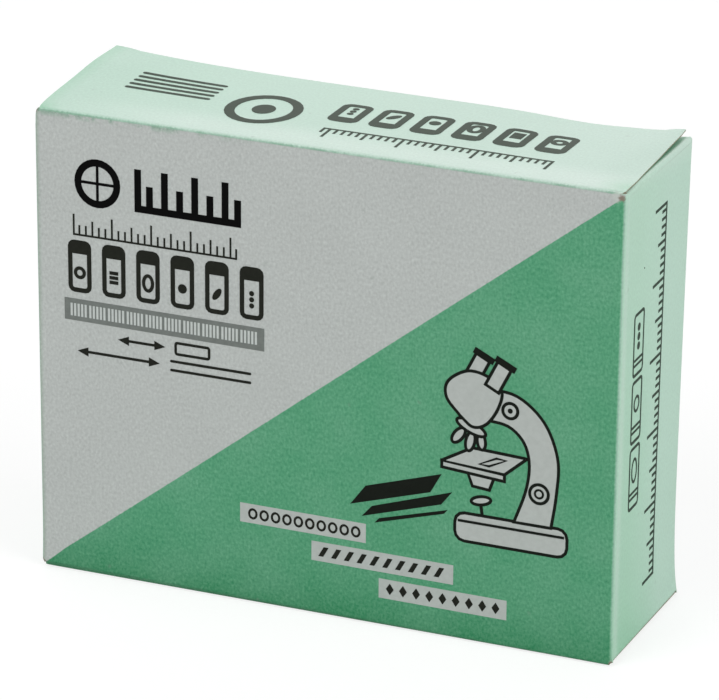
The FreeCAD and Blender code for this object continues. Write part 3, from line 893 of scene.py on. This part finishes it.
def add_node(tree, kind, inputs=(), output=0, **settings):
    """Add a node with its settings, link or set its inputs, and give the output that is asked for.

    inputs lists what goes into the first sockets, or maps sockets' names or numbers to it: another node's
    output, a value, or a colour's hex code.
    """
    node = tree.nodes.new("ShaderNode" + kind)
    for name, value in settings.items():
        setattr(node, name, value)
    for socket, source in inputs.items() if isinstance(inputs, dict) else enumerate(inputs):
        if isinstance(source, bpy.types.NodeSocket):
            tree.links.new(source, node.inputs[socket])
        else:
            node.inputs[socket].default_value = colour(source) if isinstance(source, str) else source
    return node.outputs[output] if len(node.outputs) else node


def new_material(name):
    """An empty node material, and the function that adds a node to it."""
    material = bpy.data.materials.new(name)
    material.use_nodes = True
    material.node_tree.nodes.clear()
    return material, partial(add_node, material.node_tree)


def all_of(add, whole, *shares):
    """A chain of nodes that multiplies shares: full only where each of them is."""
    for share in shares:
        whole = add("Math", [whole, share], operation="MULTIPLY")
    return whole


def any_of(add, whole, *shares):
    """A chain of nodes that takes the greatest of several shares."""
    for share in shares:
        whole = add("Math", [whole, share], operation="MAXIMUM")
    return whole


def laid_over(add, ground, *layers, **settings):
    """A chain of nodes that lays colours over a ground one after another, each by its own share."""
    for share, layer in layers:
        ground = add("Mix", {0: share, 6: ground, 7: layer}, 2, data_type="RGBA", **settings)
    return ground


def near_level(add, value, level, far, close, most=1.0, **settings):
    """A band about a level: most where the value comes close to it, and 0 from far off."""
    off = add("Math", [value, level], operation="SUBTRACT")
    off = add("Math", [off], operation="ABSOLUTE")
    return add("MapRange", [off, far, close, 0.0, most], **settings)


def near_point(add, place, point, far, close, most):
    """A round patch about a point of the sheet: most close to it, and 0 from far off."""
    away = add("VectorMath", [place, (*point, 0.0)], "Value", operation="DISTANCE")
    return add("MapRange", [away, far, close, 0.0, most])


def worn_spot(add, place, centre, radius, ragged):
    """Where the print has worn through: 1 inside a ragged round spot of the sheet, 0 outside it."""
    away = add("VectorMath", [place, (*centre, 0.0)], "Value", operation="DISTANCE")
    away = add("Math", [ragged, 2.2 * radius, away], operation="MULTIPLY_ADD")
    return add("MapRange", [away, 2.5 * radius, 1.5 * radius], interpolation_type="SMOOTHSTEP")


def printed_boxboard():
    """Clay-coated folding boxboard, offset printed: grey and green in front, mint elsewhere, rubbed at folds.

    It is laid out on the flat sheet in mm: along the wrap from the front's middle, and up from its foot.
    """
    material, add = new_material("offset_printed_boxboard")
    place = add("Attribute", output="Vector", attribute_name="dieline")
    along = add("SeparateXYZ", [place])
    height = along.node.outputs["Y"]

    # Ink drifts over about 9 mm, mottles over 0.4 mm, and shows fibres 0.3 mm wide that run upright. Real
    # fibres are ten times finer, too fine to show.
    drift = add("TexNoise", {"Vector": place, "Scale": 0.11, "Detail": 2.0})
    mottle = add("TexNoise", {"Vector": place, "Scale": 2.6, "Detail": 3.0, "Roughness": 0.6})
    upright_place = add("Mapping", {"Vector": place, "Scale": (3.4, 1.9, 1.0)})
    fibres = add("TexNoise", {"Vector": upright_place, "Scale": 1.0, "Detail": 2.0})
    uneven = -0.305
    for pattern, strength in ((drift, 0.06), (mottle, 0.32), (fibres, 0.23)):
        uneven = add("Math", [pattern, strength, uneven], operation="MULTIPLY_ADD")

    # Zones of the sheet. foot is 1 at the very foot and fades upward by an exponential.
    foot = add("Math", [height, -0.25], operation="MULTIPLY")
    foot = add("Math", [foot], operation="EXPONENT")
    foot = add("Math", [foot, 1.0], operation="MINIMUM")
    above_foot = add("Math", [height, -0.4], operation="GREATER_THAN")
    on_top = add("Math", [height, LID_TOP], operation="GREATER_THAN")
    not_on_top = add("Math", [1.0, on_top], operation="SUBTRACT")
    past_fold = add("Math", [along, HALF_WIDTH], operation="GREATER_THAN")
    front_half = add("MapRange", [along, 59.0, 45.0])
    to_back = add("MapRange", [along, 48.0, 62.0])

    # The front: green below the line between two corners, grey above it. The green is fuller at the foot, and
    # the line bends down where it nears the rolled left corner.
    blush = add("MapRange", [drift, 0.38, 0.68, 0.0, 0.25])
    green = laid_over(add, "#4C9971", (foot, "#2B8155"), (blush, "#6AA284"))
    over_line = add("VectorMath", [place, (-0.7737, 1.0, 0.0)], "Value", operation="DOT_PRODUCT")
    bend = near_point(add, place, (-HALF_WIDTH, 0.0), 4.5, 0.0, 0.45)
    over_line = add("Math", [over_line, bend], operation="ADD")
    over_line = add("Math", [mottle, 0.10, over_line], operation="MULTIPLY_ADD")
    grey_share = add("MapRange", [over_line, 30.98, 31.12])
    front = laid_over(add, green, (grey_share, "#B6BBB8"))

    # Mint: on the right end painted shade, darker and greener low down in its front half; on the lid fuller
    # by its left edge and its two front corners. end_mint is painted paler towards the right end's back as a
    # highlight, and lid_mint is painted whiter towards the lid's right as a sheen.
    low = add("Math", [foot, 0.42], operation="POWER")
    full = all_of(add, low, front_half, 0.78)
    by_edge = all_of(add, add("MapRange", [along, -37.6, -39.6, 0.0, 0.5]), on_top)
    by_corner = all_of(add, near_point(add, place, (39.8, LID_TOP + 2.0), 4.5, 0.5, 0.62), on_top)
    left_corner = all_of(add, near_point(add, place, (-39.7, LID_TOP + 0.2), 3.2, 0.2, 0.9), on_top)
    full = any_of(add, full, by_edge, by_corner, left_corner)
    end_mint = laid_over(add, "#ACD5BD", (add("MapRange", [along, 45.0, 58.0]), "#B9DAC8"))
    lid_mint = laid_over(add, "#B1D2C0", (add("MapRange", [along, -30.0, 35.0]), "#BAD4C6"))

    # Painted highlights: paler in a band behind the lid's fold where its bend catches the light, beside the
    # right fold, over the right end's rounded top fold towards its back, and towards the right end's top.
    pale = near_level(add, height, LID_TOP + 2.2, 6.5, 0.0, 0.42, interpolation_type="SMOOTHSTEP")
    pale = all_of(add, pale, add("MapRange", [along, -38.0, -20.0]))
    beside_fold = near_level(add, along, 41.0, 1.6, 0.0, 0.26, interpolation_type="SMOOTHSTEP")
    crown_highlight = all_of(add, add("MapRange", [height, HEIGHT - 0.60, HEIGHT - 0.45, 0.0, 0.36]), to_back)
    upper = all_of(add, add("MapRange", [height, 30.0, HEIGHT, 0.0, 0.16]), front_half, past_fold)
    pale = any_of(add, pale, beside_fold, crown_highlight, upper)
    pale = all_of(add, pale, add("Math", [by_corner, -1.5, 1.0], operation="MULTIPLY_ADD"))

    # Painted shade: a darker, fuller green on the right end's flap under the lid's edge stands in for the
    # shade in the gap there.
    gap_shade = all_of(add, near_level(add, height, HEIGHT + 1.6, 1.4, 1.0, 0.8), past_fold)
    mint = laid_over(add, lid_mint, (past_fold, end_mint), (full, "#8FC6A5"), (pale, "#DCEAE2"),
                     (gap_shade, "#62AB82"))

    # Where the front's print ends, slightly ragged: just before its side folds and just under the lid's fold.
    side = add("Math", [along], operation="ABSOLUTE")
    side = add("Math", [mottle, 0.12, side], operation="MULTIPLY_ADD")
    inside = add("MapRange", [side, HALF_WIDTH + 0.18, HALF_WIDTH - 0.34])
    top = add("Math", [mottle, 0.25, height], operation="MULTIPLY_ADD")
    under = add("MapRange", [top, LID_TOP - 0.14, LID_TOP - 0.24])
    on_front = all_of(add, inside, under, above_foot)

    # A ragged line of full green bleeds along the lid's fold, and in blots onto the grey towards the left.
    patches = add("TexNoise", {"Vector": place, "Scale": 0.4, "Detail": 4.0, "Roughness": 0.7})
    strength = add("MapRange", [patches, 0.38, 0.62, 0.4, 0.8])
    strength = any_of(add, strength, add("MapRange", [along, -18.0, -32.0, 0.0, 0.75]))
    bleed = all_of(add, near_level(add, top, LID_TOP - 0.12, 0.22, 0.06), strength)
    by_fold = all_of(add, add("MapRange", [height, LID_TOP - 1.1, LID_TOP - 0.35, 0.0, 0.7]), under)
    blots = add("MapRange", [patches, 0.47, 0.56])
    blots = all_of(add, blots, by_fold, add("MapRange", [along, -8.0, -22.0]))
    bleed = all_of(add, inside, any_of(add, bleed, blots))

    # The front's left fold is rubbed to a grey-green line. Painted shade darkens the right end's top crease
    # in a fine line, and rubbed holds both.
    rubbed = all_of(add, add("MapRange", [along, -39.2, -39.75, 0.0, 0.6]), above_foot, not_on_top)
    crease_shade = near_level(add, height, HEIGHT - 0.62, 0.10, 0.03, 0.30)
    rubbed = any_of(add, rubbed, all_of(add, crease_shade, to_back))

    # Faint smudges 0.6 mm across, one in about 5 mm, and dust specks 0.2 mm across.
    smudges = add("TexVoronoi", {"Vector": place, "Scale": 0.2}, "Distance")
    smudges = add("Math", [mottle, 0.12, smudges], operation="MULTIPLY_ADD")
    smudges = add("MapRange", [smudges, 0.13, 0.07, 0.0, 0.28])
    specks = add("TexVoronoi", {"Vector": place, "Scale": 0.05}, "Distance")
    specks = add("MapRange", [specks, 0.007, 0.004, 0.0, 0.6])
    ink = laid_over(add, mint, (on_front, front), (bleed, "#66967A"), (rubbed, "#8CA391"),
                    (smudges, "#7E8A82"), (specks, "#B9C6BD"))

    # Where the ink is thinner the coated board shows through a little, and where it is thicker it is darker.
    ink = laid_over(add, ink, (all_of(add, uneven, 0.5), "#E4EAE6"), clamp_factor=False)
    strength = add("MapRange", [grey_share, 0.0, 1.0, 1.5, 1.2])
    strength = add("MapRange", [on_front, 0.0, 1.0, 0.7, strength])
    tone = add("Math", [uneven, strength, 1.0], operation="MULTIPLY_ADD")
    ink = laid_over(add, ink, (1.0, tone), blend_type="MULTIPLY")

    # A painted highlight by the lid's right front corner, and corners rubbed through to the brown-grey core.
    corner_highlight = all_of(add, worn_spot(add, place, (38.9, 61.7), 0.7, mottle), 0.55)
    worn = any_of(add, *[worn_spot(add, place, centre, radius, mottle) for centre, radius in WORN_CORNERS])
    ink = laid_over(add, ink, (corner_highlight, "#C3CBC2"), (worn, "#7F7467"))

    # A satin face, a little less even where the ink is mottled, over a board that is faintly fibrous.
    satin = add("MapRange", [mottle, 0.3, 0.7, 0.42, 0.56])
    relief = add("Math", [fibres, 0.6, mottle], operation="MULTIPLY_ADD")
    bump = add("Bump", {"Height": relief, "Strength": 0.35, "Distance": 0.00002})
    shader = add("BsdfPrincipled", {"Base Color": ink, "Roughness": satin, "Normal": bump})
    add("OutputMaterial", [shader])
    return material


def bare_boxboard(name, dark, light, grain, detail, relief, roughness, cloudy=False):
    """Unprinted pressed fibre between two colours, in grains with a relief, and in faint clouds if asked."""
    material, add = new_material(name)
    place = add("TexCoord", output="Object")
    fibres = add("TexNoise", {"Vector": place, "Scale": grain, "Detail": detail, "Roughness": 0.7})
    pulp = laid_over(add, dark, (add("MapRange", [fibres, 0.35, 0.65]), light))
    if cloudy:
        clouds = add("TexNoise", {"Vector": place, "Scale": 90.0, "Detail": 2.0})
        tone = add("MapRange", [clouds, 0.3, 0.7, 0.94, 1.05])
        pulp = laid_over(add, pulp, (1.0, tone), blend_type="MULTIPLY")
    bump = add("Bump", {"Height": fibres, "Strength": relief, "Distance": 0.00004})
    shader = add("BsdfPrincipled", {"Base Color": pulp, "Roughness": roughness, "Normal": bump})
    add("OutputMaterial", [shader])
    return material


def offset_ink(name, hex_code, spread, gloss=0.3):
    """Offset ink in one colour, uneven by a share where the board's fibres took less of it."""
    material, add = new_material(name)
    place = add("TexCoord", output="Object")
    cover = add("TexNoise", {"Vector": place, "Scale": 1700.0, "Detail": 3.0})
    tone = add("MapRange", [cover, 0.3, 0.7, 1 - spread, 1 + spread])
    ink = laid_over(add, hex_code, (1.0, tone), blend_type="MULTIPLY")
    shader = add("BsdfPrincipled", {"Base Color": ink, "Roughness": 0.5, "Specular IOR Level": gloss})
    add("OutputMaterial", [shader])
    return material


def slide_glass():
    """Drawn soda-lime glass, faintly green: clear, silvery in a stack, with a film of dust and wipes."""
    material, add = new_material("soda_lime_glass")
    place = add("TexCoord", output="Object")

    # Wiping leaves streaks about 1 mm wide and 12 mm long; dust gathers as grains in patches of 4 mm.
    wiped = add("Mapping", {"Vector": place, "Scale": (80.0, 1000.0, 80.0)})
    streaks = add("TexNoise", {"Vector": wiped, "Scale": 1.0, "Detail": 3.0})
    patches = add("TexNoise", {"Vector": place, "Scale": 250.0, "Detail": 2.0})
    grains = add("TexVoronoi", {"Vector": place, "Scale": 1200.0}, "Distance")
    dusty = all_of(add, add("MapRange", [grains, 0.16, 0.08]), add("MapRange", [patches, 0.45, 0.65]))
    tint = laid_over(add, "#D3E6DD", (patches, "#E2EFE9"), (dusty, "#C9CCC6"))
    clear = add("MapRange", [dusty, 0.0, 1.0, 0.62, 0.0])
    sheen = add("MapRange", [streaks, 0.35, 0.65, 0.02, 0.09])
    bump = add("Bump", {"Height": streaks, "Strength": 0.15, "Distance": 0.00001})
    shader = add("BsdfPrincipled", {
        "Base Color": tint, "Roughness": sheen, "IOR": 1.52, "Transmission Weight": clear, "Normal": bump})
    add("OutputMaterial", [shader])
    return material


# ---- Floor, light and camera --------

FLOOR_REACH = 2500.0  # in millimetres, to each side


def make_floor():
    """A pale floor that is white where the camera sees it in full light, and keeps a soft shadow."""
    side = np.linspace(-FLOOR_REACH, FLOOR_REACH, 3)
    floor = add_piece("floor", [as_points(side, side[:, None], 0.0)])
    material, add = new_material("white_studio_sweep")
    seen = add("LightPath", output="Is Camera Ray")
    plain = add("BsdfDiffuse", ["#E6E6E6"])
    shown = add("AddShader", [add("BsdfDiffuse", ["#A0A0A0"]), add("Emission", ["#FFFFFF", 0.72])])
    add("OutputMaterial", [add("MixShader", [seen, plain, shown])])
    floor.data.materials.append(material)


def make_world():
    """White behind all that the camera, gloss or glass sees, and a plain level of light from around."""
    world = bpy.data.worlds.new("studio")
    bpy.context.scene.world = world
    world.use_nodes = True
    world.node_tree.nodes.clear()
    add = partial(add_node, world.node_tree)
    rays = add("LightPath").node.outputs
    seen = any_of(add, *[rays[f"Is {kind} Ray"] for kind in ("Camera", "Glossy", "Transmission")])
    ambient = add("Background", ["#FFFFFF", 0.42])
    white = add("Background", ["#FFFFFF", 1.0])
    add("OutputWorld", [add("MixShader", [seen, ambient, white])])


def add_softbox(name, place, size, power):
    """A square area lamp in metres, aimed at the middle of the carton."""
    lamp = bpy.data.lights.new(name, "AREA")
    lamp.shape = "SQUARE"
    lamp.size = size
    lamp.energy = power
    softbox = add_object(name, lamp)
    middle = Vector((0, 0, HEIGHT / 2 * MM))
    softbox.location = Vector(place)
    softbox.rotation_euler = (middle - softbox.location).to_track_quat("-Z", "Y").to_euler()


CAMERA_AZIMUTH = math.radians(22.15)
CAMERA_ELEVATION = math.radians(19.98)
CAMERA_ROLL = math.radians(1.008)
CAMERA_DISTANCE = 0.64
CAMERA_AIM = (-0.0008, 0.0018, 0.03086)
CAMERA_LENS = 250.35
CAMERA_SENSOR = 36.0


def make_camera():
    """A long lens, in front and a little to the right, looking down on the carton."""
    lens = bpy.data.cameras.new("camera")
    lens.lens = CAMERA_LENS
    lens.sensor_width = CAMERA_SENSOR
    camera = add_object("camera", lens)
    turned = (Matrix.Rotation(CAMERA_AZIMUTH, 4, "Z")
              @ Matrix.Rotation(math.pi / 2 - CAMERA_ELEVATION, 4, "X")
              @ Matrix.Rotation(CAMERA_ROLL, 4, "Z"))
    backward = turned @ Vector((0, 0, CAMERA_DISTANCE))
    camera.matrix_world = Matrix.Translation(Vector(CAMERA_AIM) + backward) @ turned
    bpy.context.scene.camera = camera


make_camera()
make_world()
make_floor()
add_softbox("front_softbox", (-0.5, -0.9, 0.8), 0.8, 6.5)
add_softbox("side_softbox", (1.0, -0.3, 0.6), 0.8, 6.0)
add_softbox("back_softbox", (-0.42, 1.0, 0.46), 0.7, 2.6)

# Printed outside, and inside the matt grey-brown of recycled board with flecks of old paper. The die-cut edge
# shows its core: torn-looking brown-grey fibre, with painted shade darkening its pits.
board_materials = [
    printed_boxboard(),
    bare_boxboard("raw_recycled_boxboard", "#978F80", "#ADA698", 900.0, 4.0, 0.5, 0.88, cloudy=True),
    bare_boxboard("die_cut_board_core", "#7F7B66", "#A09D88", 2500.0, 3.0, 0.6, 0.92),
]
make_carton(board_materials)
make_lid_fold(board_materials)
make_lid(board_materials)

inks = {
    "black": offset_ink("black_offset_ink", "#040404", 0.1, gloss=0.05),
    "dark": offset_ink("soft_black_offset_ink", "#1D1F19", 0.15, gloss=0.1),
    "line": offset_ink("green_black_offset_ink", "#10150F", 0.15, gloss=0.1),
    "band": offset_ink("grey_offset_ink", "#6F7571", 0.08),
    "light": offset_ink("light_grey_offset_ink", "#C0C6C3", 0.04),
    "pale": offset_ink("pale_grey_offset_ink", "#B2B8B4", 0.04),
    "lid": offset_ink("grey_green_offset_ink", "#132A14", 0.08, gloss=0.08),
    "end": offset_ink("dark_green_offset_ink", "#1E3324", 0.12, gloss=0.15),
}
print_front(inks)
add_ink("ink_lid_signs", lid_marks(), on_lid, THICK_FILM, inks["lid"], "lid_flap")
add_ink("ink_end_signs", end_marks(), on_right_end, THICK_FILM, inks["end"], "carton_with_slides")

glass = slide_glass()
for node_name, node in frame["nodes"].items():
    if node_name.startswith("slide_"):
        node.data.materials.clear()
        node.data.materials.append(glass)

bpy.context.scene.view_settings.view_transform = "Standard"
